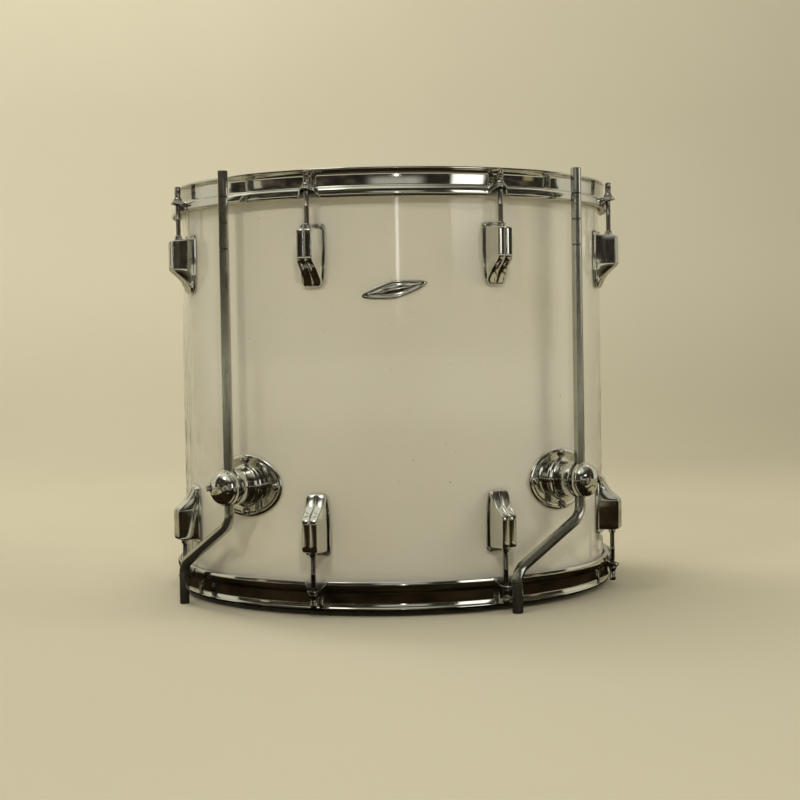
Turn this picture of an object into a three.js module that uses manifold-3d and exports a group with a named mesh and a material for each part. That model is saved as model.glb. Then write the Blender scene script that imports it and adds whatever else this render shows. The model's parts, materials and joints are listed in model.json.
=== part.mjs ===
// Floor tom drum, 18 in across and 16 in deep, standing on three bent hexagonal legs.
// Units are millimetres. Z is up, the floor is z = 0 and the drum's front faces -Y.
import * as THREE from "three";
import { mergeVertices } from "three/addons/utils/BufferGeometryUtils.js";
import Module from "manifold-3d";

const wasm = await Module();
wasm.setup();

// ---- driving dimensions ----
const SEGMENTS = 64; // sides of every large ring
const WRAP_R = 228.6; // outside of the covered shell, 18 in across
const WRAP_T = 1.2;
const SHELL_R = 227.0;
const SHELL_T = 8.0;
const RIM_H = 425.4; // rim to rim
const RIM_LIFT = 5.5; // lower rim above the floor, standing on the legs
const HALF = RIM_H / 2;
const MID_Z = RIM_LIFT + HALF;
const EDGE_Z = HALF - 9.5; // bearing edge above the middle of the drum
const EAR_Z = HALF - 18.6; // top face of a hoop's ears
const SHEET = 2.3; // hoop steel
const SKIRT_Z = HALF - 28.8; // free edge of a hoop's skirt
const SKIRT_R = 238.0;
const ROD_R = 243.2; // circle the tension rods stand on
const ROD_COUNT = 8;
const ROD_FIRST = 22.5; // degrees from the front
const LUG_TOP = HALF - 52.5;
const LUG_LENGTH = 61.0;
const LUG_BACK = 229.0;
const BRACKET_ANGLES = { left: -43.2, right: 43.2, rear: 180 };
const BRACKET_Z = 124.0; // above the floor
const LEG_R = 254.0; // circle the legs stand on
const LEG_FLATS = 9.525; // 3/8 in hexagon bar
const LEG_TOP = 433.4;
const LEG_OFFSET = 84.3; // how far the foot stands from the leg's upper part
const LEG_BEND_UP = 88.0; // where the straight runs would meet
const LEG_BEND_LOW = 40.8;
const LEG_BEND_R = 18.0;
const LEG_TURN = -100; // heading of the foot from straight outward, degrees
const CLAMP_R = 17.7;
const CLAMP_GAP = 3.8;
const SCREW_OUT = 11.0; // clamp screws, to each side of the leg
const FRONT_TO_BACK = 17.2; // puts the whole drum's box in the middle of the frame

const PAPER = { color: 0xe2dfcd, roughness: 0.35, metalness: 0.0 };
const PLY = { color: 0xb98a55, roughness: 0.6, metalness: 0.0 };
const FILM = { color: 0xe9e7df, roughness: 0.55, metalness: 0.0 };
const CHROME = { color: 0xc9cbd0, roughness: 0.12, metalness: 1.0 };
const STEEL = { color: 0xa9abb0, roughness: 0.3, metalness: 1.0 };
const ALLOY = { color: 0xb5b7ba, roughness: 0.45, metalness: 1.0 };

const rad = THREE.MathUtils.degToRad;
const v2 = (x, y) => new THREE.Vector2(x, y);

// ---- solids ----
function solid(geometry) {
  const bare = geometry.clone();
  bare.deleteAttribute("normal");
  bare.deleteAttribute("uv");
  const merged = mergeVertices(bare, 1e-4);
  const vertProperties = merged.attributes.position.array;
  const triVerts = new Uint32Array(merged.index.array);
  return new wasm.Manifold(new wasm.Mesh({ numProp: 3, vertProperties, triVerts }));
}

function geometryOf(body) {
  const { vertProperties, triVerts } = body.getMesh();
  const indexed = new THREE.BufferGeometry();
  indexed.setAttribute("position", new THREE.BufferAttribute(vertProperties, 3));
  indexed.setIndex(new THREE.BufferAttribute(triVerts, 1));
  const flat = indexed.toNonIndexed();
  flat.computeVertexNormals();
  return flat;
}

// A body of revolution about Z from [radius, height] points. Rings list them anticlockwise.
function turned(points, sides = SEGMENTS) {
  const profile = points.map(([r, z]) => v2(r, z));
  return new THREE.LatheGeometry(profile, sides).rotateX(Math.PI / 2);
}

function ring(points, sides = SEGMENTS) {
  return turned([...points, points[0]], sides);
}

// The same about X, the outward direction of a fitting: points are [radius, distance out].
function turnedOut(points, sides) {
  return turned(points, sides).rotateY(Math.PI / 2);
}

// An outline of [across, up] points pushed outward along X from `from` by `depth`.
function pushedOut(points, from, depth) {
  const shape = new THREE.Shape(points.map(([y, z]) => v2(y, z)));
  const body = new THREE.ExtrudeGeometry(shape, { depth, bevelEnabled: false });
  return body.rotateX(Math.PI / 2).rotateZ(Math.PI / 2).translate(from, 0, 0);
}

// An outline of [out, across] points raised along Z.
function raised(points, from, height) {
  const shape = new THREE.Shape(points.map(([x, y]) => v2(x, y)));
  return new THREE.ExtrudeGeometry(shape, { depth: height, bevelEnabled: false }).translate(0, 0, from);
}

// A pin along Z, and one along X.
function pin(r, from, to, sides, x = 0, y = 0) {
  const body = new THREE.CylinderGeometry(r, r, to - from, sides).rotateX(Math.PI / 2);
  return body.translate(x, y, (from + to) / 2);
}

function pinOut(r, from, to, sides, y = 0, z = 0) {
  const body = new THREE.CylinderGeometry(r, r, to - from, sides).rotateZ(-Math.PI / 2);
  return body.translate((from + to) / 2, y, z);
}

function oval(halfWidth, halfHeight, sides) {
  return Array.from({ length: sides }, (_, i) => {
    const a = (2 * Math.PI * (i + 0.5)) / sides;
    return [halfWidth * Math.cos(a), halfHeight * Math.sin(a)];
  });
}

// ---- drum body ----
function shellSolid() {
  const inner = SHELL_R - SHELL_T;
  const crest = SHELL_R - 3.5;
  return solid(
    ring([
      [inner, -EDGE_Z + 4],
      [crest, -EDGE_Z],
      [SHELL_R, -EDGE_Z + 3],
      [SHELL_R, EDGE_Z - 3],
      [crest, EDGE_Z],
      [inner, EDGE_Z - 4],
    ]),
  );
}

function wrapSolid() {
  const reach = EDGE_Z - 4.5;
  const inner = WRAP_R - WRAP_T;
  return solid(ring([[inner, -reach], [WRAP_R, -reach], [WRAP_R, reach], [inner, reach]]));
}

// One drumhead: a flat film with a deep collar down the outside of the shell.
function headGeometry() {
  const top = EDGE_Z + 0.9;
  const hem = EAR_Z - 3.6;
  return turned([
    [0, EDGE_Z + 0.3],
    [229.3, EDGE_Z + 0.3],
    [229.3, hem],
    [230.0, hem],
    [230.0, top],
    [0, top],
  ]);
}

function fleshHoopGeometry() {
  const top = EAR_Z - SHEET - 0.4;
  return ring([[230.4, top - 6.6], [235.4, top - 6.6], [235.4, top], [230.4, top]]);
}

// ---- rim hoop: wall, flange and skirt, with eight ears ----
function earOutline() {
  const tip = Array.from({ length: 5 }, (_, i) => {
    const a = rad(-90 + 45 * i);
    return [ROD_R + 0.3 + 6.8 * Math.cos(a), 6.8 * Math.sin(a)];
  });
  return [[233.2, -9], ...tip, [233.2, 9]];
}

function archOutline() {
  const right = [[13.0, SKIRT_Z - 1], [10.6, SKIRT_Z + 2.5], [7.8, SKIRT_Z + 5.5], [6.4, EAR_Z - SHEET]];
  const left = right.map(([y, z]) => [-y, z]).reverse();
  return [...right, ...left];
}

function hoopGeometry() {
  let hoop = solid(
    ring([
      [235.9, SKIRT_Z],
      [SKIRT_R, SKIRT_Z],
      [SKIRT_R, EAR_Z - 1.8],
      [236.2, EAR_Z],
      [233.7, EAR_Z + 0.6],
      [233.7, HALF - 3.4],
      [234.9, HALF - 2.6],
      [234.9, HALF],
      [231.4, HALF],
      [231.4, EAR_Z - SHEET],
      [235.9, EAR_Z - SHEET],
    ]),
  );
  for (let i = 0; i < ROD_COUNT; i++) {
    const turn = rad(ROD_FIRST + (360 / ROD_COUNT) * i - 90);
    const arch = solid(pushedOut(archOutline(), 234.5, 6).rotateZ(turn));
    const ear = solid(raised(earOutline(), EAR_Z - SHEET, SHEET).rotateZ(turn));
    const hole = solid(pin(3.4, EAR_Z - 5, EAR_Z + 2, 8, ROD_R).rotateZ(turn));
    hoop = hoop.subtract(arch).add(ear).subtract(hole);
  }
  return geometryOf(hoop);
}

// ---- lug: a flanged base under a grooved, beaver-tail casting ----
function lugGeometry() {
  const foot = LUG_TOP - LUG_LENGTH;
  const half = [
    [11.4, LUG_TOP],
    [13.0, LUG_TOP - 3],
    [13.4, LUG_TOP - 30],
    [11.2, foot + 2],
    [8.8, foot],
  ];
  const mirrored = half.map(([y, z]) => [-y, z]).reverse();
  const base = solid(pushedOut([...half, ...mirrored].reverse(), LUG_BACK, 2.8));
  const section = [
    [0, -10.4],
    [8, -8.9],
    [19.2, -8.0],
    [22.6, -4.0],
    [21.3, 0],
    [22.6, 4.0],
    [19.2, 8.0],
    [8, 8.9],
    [0, 10.4],
  ];
  const bar = solid(raised(section, foot, LUG_LENGTH).translate(LUG_BACK + 1, 0, 0));
  const side = [
    [0, LUG_TOP - 4.4],
    [19.4, LUG_TOP - 4.8],
    [23, LUG_TOP - 7.4],
    [23, LUG_TOP - 35.6],
    [16.6, LUG_TOP - 41],
    [8.8, LUG_TOP - 48.5],
    [4.2, foot + 3],
    [0, foot + 1],
  ];
  const sideCut = solid(
    raised(side, -20, 40).rotateX(Math.PI / 2).translate(LUG_BACK + 1, 0, 0),
  );
  const collar = solid(pin(4.1, LUG_TOP - 7, LUG_TOP - 0.6, 8, ROD_R));
  const bore = solid(pin(3.1, LUG_TOP - 18, LUG_TOP + 4, 8, ROD_R));
  return geometryOf(base.add(bar.intersect(sideCut)).add(collar).subtract(bore));
}

// ---- tension rod: square key head over a domed washer and a long shank ----
function rodGeometry() {
  const seat = EAR_Z + 0.3;
  const shank = solid(
    turned(
      [
        [0, LUG_TOP - 15],
        [2.5, LUG_TOP - 15],
        [2.5, seat],
        [5.4, seat],
        [4.4, seat + 3],
        [3.5, seat + 9.5],
        [0, seat + 9.5],
      ],
      8,
    ),
  );
  const key = 2.75;
  const square = raised([[-key, -key], [key, -key], [key, key], [-key, key]], seat + 8, 7.6);
  return geometryOf(shank.add(solid(square)));
}

// ---- leg bracket: plate, round boss, domed cap, clamp screws and bolts ----
const BOLTS = [[40, 0], [-40, 0], [0, 25.7], [0, -25.7]];

// Turns [across, up] on the shell into the fitting that stands square to the shell there.
function aroundShell(geometry, across, up) {
  return geometry.rotateZ(across / WRAP_R).translate(0, 0, up);
}

function legBore() {
  return solid(pin(6.1, -30, 30, 12, LEG_R));
}

function bracketGeometry() {
  const skin = [[229.0, -40], [231.6, -40], [231.6, 40], [229.0, 40]];
  const outline = solid(pushedOut(oval(45, 31, 28), 200, 50));
  const plate = solid(ring(skin)).intersect(outline);
  const end = LEG_R - CLAMP_GAP / 2;
  const boss = turnedOut(
    [
      [0, 230.2],
      [21.0, 230.2],
      [20.4, 232.2],
      [18.3, 233.4],
      [CLAMP_R, 235.6],
      [CLAMP_R, end],
      [0, end],
    ],
    24,
  );
  let body = plate.add(solid(boss)).subtract(legBore());
  for (const y of [-SCREW_OUT, SCREW_OUT])
    body = body.subtract(solid(pinOut(3.0, end - 9, end + 1, 8, y)));
  for (const [across, up] of BOLTS)
    body = body.subtract(solid(aroundShell(pinOut(2.9, 220, 240, 6), across, up)));
  return geometryOf(body);
}

function capGeometry() {
  const start = LEG_R + CLAMP_GAP / 2;
  const dome = turnedOut(
    [
      [0, start],
      [CLAMP_R, start],
      [CLAMP_R, start + 5.0],
      [16.2, start + 8.2],
      [13.0, start + 12.0],
      [7.6, start + 14.8],
      [0, start + 16.0],
    ],
    24,
  );
  let body = solid(dome).subtract(legBore());
  for (const y of [-SCREW_OUT, SCREW_OUT]) {
    body = body.subtract(solid(pinOut(3.0, start - 1, start + 20, 8, y)));
    body = body.subtract(solid(pinOut(4.4, start + 8.8, start + 20, 8, y)));
  }
  return geometryOf(body);
}

function screwGeometry() {
  const start = LEG_R + CLAMP_GAP / 2;
  const seat = start + 9.1;
  const body = turnedOut(
    [[0, start - 11], [2.6, start - 11], [2.6, seat], [3.9, seat], [3.9, seat + 1.4], [0, seat + 1.4]],
    8,
  );
  const key = 2.8;
  const square = pushedOut([[-key, -key], [key, -key], [key, key], [-key, key]], seat + 1, 6.4);
  return geometryOf(solid(body).add(solid(square)));
}

// Four round-head bolts through the shell, with the curved backing plate that holds them inside.
function boltSetGeometry() {
  const inside = SHELL_R - SHELL_T - 0.4;
  const skin = [[inside - 1.6, -40], [inside - 0.3, -40], [inside - 0.3, 40], [inside - 1.6, 40]];
  const outline = solid(pushedOut(oval(45, 31, 12), 200, 50));
  let body = solid(ring(skin)).intersect(outline);
  for (const [across, up] of BOLTS) {
    const bolt = turnedOut(
      [
        [0, inside - 3],
        [2.4, inside - 3],
        [2.4, 231.9],
        [4.0, 231.9],
        [3.3, 234.2],
        [0, 235.5],
      ],
      6,
    );
    body = body.add(solid(aroundShell(bolt, across, up)));
  }
  return geometryOf(body);
}

// ---- leg: hexagon bar with a double bend and three turned index rings ----
class BarPath extends THREE.Curve {
  constructor(points) {
    super();
    this.points = points;
  }

  getPointAt(u) {
    const at = u * (this.points.length - 1);
    const i = Math.min(Math.floor(at), this.points.length - 2);
    return this.points[i].clone().lerp(this.points[i + 1], at - i);
  }

  getTangentAt(u) {
    const step = 0.5 / (this.points.length - 1);
    const before = this.getPointAt(Math.max(0, u - step));
    const after = this.getPointAt(Math.min(1, u + step));
    return after.sub(before).normalize();
  }
}

function legPoints() {
  const drop = LEG_BEND_UP - LEG_BEND_LOW;
  const slope = Math.atan2(LEG_OFFSET, drop); // turn of each bend, from straight down
  const tangent = LEG_BEND_R * Math.tan(slope / 2);
  const start = v2(0, LEG_BEND_UP + tangent);
  const steps = 5;
  const bend = Array.from({ length: steps + 1 }, (_, i) => {
    const a = (slope * i) / steps;
    return v2(LEG_BEND_R * (1 - Math.cos(a)), start.y - LEG_BEND_R * Math.sin(a));
  });
  const centre = v2(LEG_OFFSET / 2, (LEG_BEND_UP + LEG_BEND_LOW) / 2);
  const back = bend.map((p) => v2(2 * centre.x - p.x, 2 * centre.y - p.y)).reverse();
  const flat = [v2(0, LEG_TOP), ...bend, ...back, v2(LEG_OFFSET, 0)];
  return flat.map((p) => new THREE.Vector3(p.x, 0, p.y));
}

function legGeometry() {
  const corner = LEG_FLATS / Math.sqrt(3);
  const points = legPoints();
  const hexagon = Array.from({ length: 6 }, (_, i) => {
    const a = rad(30 + 60 * i);
    return v2(corner * Math.cos(a), corner * Math.sin(a));
  });
  const extrudePath = new BarPath(points);
  const steps = points.length - 1;
  const bar = new THREE.ExtrudeGeometry(new THREE.Shape(hexagon), { steps, extrudePath });
  let leg = solid(bar);
  for (const down of [25.4, 50.8, 76.2]) {
    const z = LEG_TOP - down;
    const groove = ring([[5.0, z - 0.6], [7, z - 0.6], [7, z + 0.6], [5.0, z + 0.6]], 12);
    leg = leg.subtract(solid(groove));
  }
  return geometryOf(leg);
}

// ---- badge: a plain slanted leaf ----
function badgeGeometry() {
  const skin = [[229.0, -40], [230.5, -40], [230.5, 40], [229.0, 40]];
  const slant = rad(11);
  const leaf = Array.from({ length: 20 }, (_, i) => {
    const a = (2 * Math.PI * (i + 0.5)) / 20;
    const y = 32 * Math.cos(a);
    const z = 8.5 * Math.sin(a) * (1 - 0.35 * Math.abs(Math.cos(a)));
    return [y * Math.cos(slant) - z * Math.sin(slant), y * Math.sin(slant) + z * Math.cos(slant)];
  });
  return geometryOf(solid(ring(skin, 128)).intersect(solid(pushedOut(leaf, 200, 50))));
}

// ---- assembly ----
const drum = new THREE.Group();
drum.name = "floor_tom";
drum.position.set(0, -FRONT_TO_BACK, 0);

function add(parent, name, geometry, look) {
  const mesh = new THREE.Mesh(geometry, new THREE.MeshStandardMaterial(look));
  mesh.name = name;
  parent.add(mesh);
  return mesh;
}

// A frame on the drum's axis whose X points out at `angle` degrees from the front.
// Lower fittings are the upper ones turned over about that X.
function station(angle, z, lower = false) {
  const frame = new THREE.Group();
  frame.position.z = z;
  frame.rotation.z = rad(angle - 90);
  const flip = new THREE.Group();
  flip.rotation.x = lower ? Math.PI : 0;
  frame.add(flip);
  drum.add(frame);
  return flip;
}

function boltHoles(inner, outer) {
  const holes = [];
  for (const angle of Object.values(BRACKET_ANGLES))
    for (const [across, up] of BOLTS) {
      const hole = aroundShell(pinOut(2.9, inner, outer, 6), across, up + BRACKET_Z - MID_Z);
      holes.push(solid(hole.rotateZ(rad(angle - 90))));
    }
  return holes;
}

const middle = new THREE.Group();
middle.position.z = MID_Z;
drum.add(middle);
const holes = boltHoles(200, 250);
const drilled = (body) => geometryOf(holes.reduce((left, hole) => left.subtract(hole), body));
add(middle, "shell", drilled(shellSolid()), PLY);
add(middle, "wrap", drilled(wrapSolid()), PAPER);

for (const end of ["top", "bottom"]) {
  const turn = new THREE.Group();
  turn.position.z = MID_Z;
  turn.rotation.x = end === "top" ? 0 : Math.PI;
  drum.add(turn);
  add(turn, `head_${end}`, headGeometry(), FILM);
  add(turn, `flesh_hoop_${end}`, fleshHoopGeometry(), ALLOY);
  add(turn, `hoop_${end}`, hoopGeometry(), CHROME);
  for (let i = 0; i < ROD_COUNT; i++) {
    const angle = ROD_FIRST + (360 / ROD_COUNT) * i;
    const frame = station(angle, MID_Z, end === "bottom");
    add(frame, `lug_${end}_${i + 1}`, lugGeometry(), CHROME);
    const rod = new THREE.Group();
    rod.position.x = ROD_R;
    frame.add(rod);
    add(rod, `rod_${end}_${i + 1}`, rodGeometry(), STEEL);
  }
}

for (const [side, angle] of Object.entries(BRACKET_ANGLES)) {
  const frame = station(angle, BRACKET_Z);
  add(frame, `bracket_${side}`, bracketGeometry(), CHROME);
  add(frame, `bracket_bolts_${side}`, boltSetGeometry(), STEEL);
  add(frame, `clamp_cap_${side}`, capGeometry(), CHROME);
  for (const [hand, y] of [["a", -SCREW_OUT], ["b", SCREW_OUT]]) {
    const screw = add(frame, `clamp_screw_${side}_${hand}`, screwGeometry(), STEEL);
    screw.position.y = y;
  }
  const stand = station(angle, 0);
  const leg = add(stand, `leg_${side}`, legGeometry(), CHROME);
  leg.position.x = LEG_R;
  leg.rotation.z = rad(LEG_TURN);
}

add(station(-2.7, 313.8), "badge", badgeGeometry(), CHROME);

export default drum;
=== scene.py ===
"""Looks of the floor tom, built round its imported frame. Metres in the scene, millimetres in the code."""

import json
import math

import bmesh
import bpy
from mathutils import Matrix, Vector


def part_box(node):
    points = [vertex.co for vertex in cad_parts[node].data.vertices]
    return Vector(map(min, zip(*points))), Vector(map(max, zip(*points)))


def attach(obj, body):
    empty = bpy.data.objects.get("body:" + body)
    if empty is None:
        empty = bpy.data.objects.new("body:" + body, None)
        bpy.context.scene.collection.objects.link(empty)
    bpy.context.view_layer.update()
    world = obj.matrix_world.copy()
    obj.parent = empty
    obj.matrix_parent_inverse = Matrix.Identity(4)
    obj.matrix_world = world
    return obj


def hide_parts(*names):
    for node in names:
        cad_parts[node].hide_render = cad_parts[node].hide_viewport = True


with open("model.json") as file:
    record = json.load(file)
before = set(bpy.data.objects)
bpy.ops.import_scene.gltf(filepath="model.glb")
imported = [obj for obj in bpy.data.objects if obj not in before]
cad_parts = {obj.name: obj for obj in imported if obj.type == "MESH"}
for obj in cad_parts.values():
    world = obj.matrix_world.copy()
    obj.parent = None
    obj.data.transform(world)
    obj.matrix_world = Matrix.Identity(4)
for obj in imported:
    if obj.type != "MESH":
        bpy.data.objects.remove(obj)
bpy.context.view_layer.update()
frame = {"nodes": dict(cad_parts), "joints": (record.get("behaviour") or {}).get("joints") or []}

MM = 0.001
RAD = math.radians

# ---- sizes, from the frame's own boxes ----
wrap_low, wrap_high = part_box("wrap")
hoop_low, hoop_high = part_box("hoop_top")
rim_low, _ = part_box("hoop_bottom")
AXIS = Vector(((wrap_low.x + wrap_high.x) / 2, (wrap_low.y + wrap_high.y) / 2, 0))
MID_Z = (hoop_high.z + rim_low.z) / 2
HALF = (hoop_high.z - rim_low.z) / 2 / MM
WRAP_R = (wrap_high.x - wrap_low.x) / 2 / MM
WRAP_REACH = (wrap_high.z - wrap_low.z) / 2 / MM
SKIRT_R = (hoop_high.x - hoop_low.x) / 2 / MM
SHEET = 2.3  # thickness of the hoops' steel

# Heights from here to LUG_TOP are from the drum's middle, as fittings are the same at both ends.
EAR_Z = HALF - 18.6  # top of a hoop's ears, where the rods' washers sit
SKIRT_Z = HALF - 28.8  # a hoop's free edge between the rods
EDGE_Z = HALF - 9.5  # the shell's bearing edge
ROD_NECK = EAR_Z - 18.4  # end of a rod's plain shank
LUG_TOP = HALF - 52.5

LUG_BACK = 229.0
LEG_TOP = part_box("leg_rear")[1].z / MM
LEG_MARKS = (25.4, 50.8, 76.2)  # index grooves, below a leg's top
LEG_R = 254.0  # a leg's axis from the drum's
CLAMP_R = 17.7
CLAMP_GAP = 3.8
SCREW_OUT = 11.0  # each clamp screw's distance to the side of its leg
BRACKET_Z = (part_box("bracket_rear")[0].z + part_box("bracket_rear")[1].z) / 2
ROD_COUNT = 8
ROD_FIRST = 22.5  # degrees from the front


def joint_named(name):
    return next(j for j in frame["joints"] if j["name"] == name)


def heading(x, y):
    """Degrees from the drum's front, towards +X."""
    return math.degrees(math.atan2(x, -y))


BRACKETS = {
    side: heading(*joint_named(f"clamp_cap_{side}_open")["axis"][:2])
    for side in ("left", "right", "rear")
}
rod_at = Vector(joint_named("rod_top_1_turn")["pos_m"]) - AXIS
ROD_R = math.hypot(rod_at.x, rod_at.y) / MM


# ---- mesh building ----
class Build:
    """Vertices in millimetres and faces, gathered for one piece."""

    def __init__(self):
        self.verts = []
        self.faces = []

    def add(self, verts, faces):
        start = len(self.verts)
        self.verts += [Vector(v) for v in verts]
        self.faces += [tuple(i + start for i in f) for f in faces]
        return self

    def loft(self, rings, closed=True, caps=True, join=False):
        """Skins equally long rings. closed joins each ring's ends, join joins the last ring to the first."""
        n = len(rings[0])
        verts = [v for r in rings for v in r]
        faces = []
        spans = len(rings) if join else len(rings) - 1
        for k in range(spans):
            a, b = k * n, ((k + 1) % len(rings)) * n
            for i in range(n if closed else n - 1):
                j = (i + 1) % n
                faces.append((a + i, a + j, b + j, b + i))
        if closed and caps and not join:
            faces.append(tuple(reversed(range(n))))
            faces.append(tuple(range((len(rings) - 1) * n, len(rings) * n)))
        return self.add(verts, faces)

    def turn(self, profile, sides, axis="z", ring=False, centre=(0, 0, 0)):
        """Turns a profile of (radius, distance along the axis) points; a ring's profile closes on itself."""
        rings = []
        for k in range(sides):
            a = 2 * math.pi * k / sides
            c, s = math.cos(a), math.sin(a)
            row = []
            for r, h in profile:
                p = Vector((r * c, r * s, h)) if axis == "z" else Vector((h, r * c, r * s))
                row.append(p + Vector(centre))
            rings.append(row)
        n = len(profile)
        verts = [v for r in rings for v in r]
        faces = []
        for k in range(sides):
            a, b = k * n, ((k + 1) % sides) * n
            for i in range(n if ring else n - 1):
                j = (i + 1) % n
                faces.append((a + i, b + i, b + j, a + j))
        return self.add(verts, faces)

    def square_bar(self, stations, half, flat, axis="z"):
        """A square bar with its corners cut, from (distance along the axis, share of its size) stations."""
        rings = []
        for h, k in stations:
            ring = []
            for quarter in range(4):
                for u, v in ((half, flat), (flat, half)):
                    point = Vector((u * k, v * k, h)) if axis == "z" else Vector((h, u * k, v * k))
                    point.rotate(Matrix.Rotation(math.pi / 2 * quarter, 3, axis.upper()))
                    ring.append(point)
            rings.append(ring)
        return self.loft(rings)


def drill(radius, low, high, sides, axis="z", centre=(0, 0, 0)):
    """A cylinder to cut a hole with."""
    return Build().turn([(0, low), (radius, low), (radius, high), (0, high)], sides, axis=axis, centre=centre)


MERGE = 0.002  # points closer than this are one


def finished_mesh(build, name, angle=32):
    """The mesh in metres: doubles and needles removed, normals out, smooth except across edges over angle."""
    mesh = bpy.data.meshes.new(name)
    mesh.from_pydata([v * MM for v in build.verts], [], build.faces)
    bm = bmesh.new()
    bm.from_mesh(mesh)
    bmesh.ops.remove_doubles(bm, verts=bm.verts, dist=MERGE * MM)
    bmesh.ops.dissolve_degenerate(bm, edges=bm.edges, dist=MERGE * MM * 0.5)
    bmesh.ops.recalc_face_normals(bm, faces=bm.faces)
    bm.to_mesh(mesh)
    bm.free()
    mesh.shade_smooth()
    mesh.set_sharp_from_angle(angle=RAD(angle))
    return mesh


def cut(mesh, tools, angle):
    """Takes solids, as Builds, out of a mesh."""
    holder = bpy.data.objects.new("cut_holder", mesh)
    bpy.context.scene.collection.objects.link(holder)
    helpers = []
    for i, tool in enumerate(tools):
        helper = bpy.data.objects.new(f"cut_tool_{i}", finished_mesh(tool, "cut_tool"))
        bpy.context.scene.collection.objects.link(helper)
        step = holder.modifiers.new(f"cut_{i}", "BOOLEAN")
        step.operation = "DIFFERENCE"
        step.solver = "EXACT"
        step.object = helper
        helpers.append(helper)
    graph = bpy.context.evaluated_depsgraph_get()
    result = bpy.data.meshes.new_from_object(holder.evaluated_get(graph))
    for o in [holder, *helpers]:
        bpy.data.objects.remove(o)
    result.shade_smooth()
    result.set_sharp_from_angle(angle=RAD(angle))
    return result


def piece(name, mesh, material, body, place, replaces=()):
    """Puts a mesh in the scene at place, riding on body in place of the CAD nodes it replaces."""
    o = bpy.data.objects.new(name, mesh)
    bpy.context.scene.collection.objects.link(o)
    o.matrix_world = place
    if not mesh.materials:
        mesh.materials.append(material)
    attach(o, body)
    if replaces:
        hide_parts(*replaces)


def station(angle, z, lower=False):
    """Frame on the drum's axis whose X points out at angle; lower fittings are turned over about it."""
    place = Matrix.Translation(AXIS + Vector((0, 0, z))) @ Matrix.Rotation(RAD(angle - 90), 4, "Z")
    return place @ Matrix.Rotation(math.pi, 4, "X") if lower else place


def mix(a, b, t):
    return a + (b - a) * t


def ease(t):
    t = min(1.0, max(0.0, t))
    return t * t * (3 - 2 * t)


def along(table, x):
    """Straight-line reading of a table of (x, value)."""
    for (x0, v0), (x1, v1) in zip(table, table[1:]):
        if x <= x1:
            return mix(v0, v1, (x - x0) / (x1 - x0) if x1 > x0 else 0)
    return table[-1][1]


# ---- materials ----
class Graph:
    """Short calls for building one node tree."""

    def __init__(self, tree):
        self.tree = tree

    def add(self, kind, **values):
        node = self.tree.nodes.new(kind)
        for key, value in values.items():
            setattr(node, key, value)
        return node

    def link(self, a, b):
        self.tree.links.new(a, b)

    def feed(self, socket, value):
        if isinstance(value, (int, float)):
            socket.default_value = value
        elif isinstance(value, tuple):
            socket.default_value = (*value, 1)
        else:
            self.link(value, socket)

    def split(self, vector):
        node = self.add("ShaderNodeSeparateXYZ")
        self.link(vector, node.inputs[0])
        return node.outputs

    def field(self, source, scale, detail, roughness, distortion):
        """Cloudy noise read at source."""
        node = self.add("ShaderNodeTexNoise")
        settings = {"Scale": scale, "Detail": detail, "Roughness": roughness, "Distortion": distortion}
        for key, value in settings.items():
            node.inputs[key].default_value = value
        self.link(source, node.inputs["Vector"])
        return node.outputs["Fac"]

    def ramp(self, source, stops):
        node = self.add("ShaderNodeValToRGB")
        band = node.color_ramp
        while len(band.elements) < len(stops):
            band.elements.new(0.5)
        for element, (at, colour) in zip(band.elements, stops):
            element.position = at
            element.color = (*colour, 1) if hasattr(colour, "__len__") else (colour, colour, colour, 1)
        self.link(source, node.inputs["Fac"])
        return node.outputs["Color"]

    def rise(self, source, start, stop):
        """0 up to start, 1 past stop, smooth between. start may be above stop."""
        node = self.add("ShaderNodeMapRange", interpolation_type="SMOOTHSTEP")
        node.inputs["From Min"].default_value = start
        node.inputs["From Max"].default_value = stop
        self.link(source, node.inputs["Value"])
        return node.outputs[0]

    def fall(self, source, start, stop):
        """1 up to start, 0 past stop, smooth between."""
        return self.maths("SUBTRACT", 1.0, self.rise(source, start, stop))

    def times(self, a, b):
        return self.maths("MULTIPLY", a, b)

    def maths(self, operation, a, b=0.0):
        node = self.add("ShaderNodeMath", operation=operation)
        self.feed(node.inputs[0], a)
        self.feed(node.inputs[1], b)
        return node.outputs[0]

    def blend(self, fac, a, b):
        """Colour a where fac is 0 and colour b where it is 1."""
        node = self.add("ShaderNodeMix", data_type="RGBA")
        for socket, value in ((node.inputs[0], fac), (node.inputs[6], a), (node.inputs[7], b)):
            self.feed(socket, value)
        return node.outputs[2]


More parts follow.
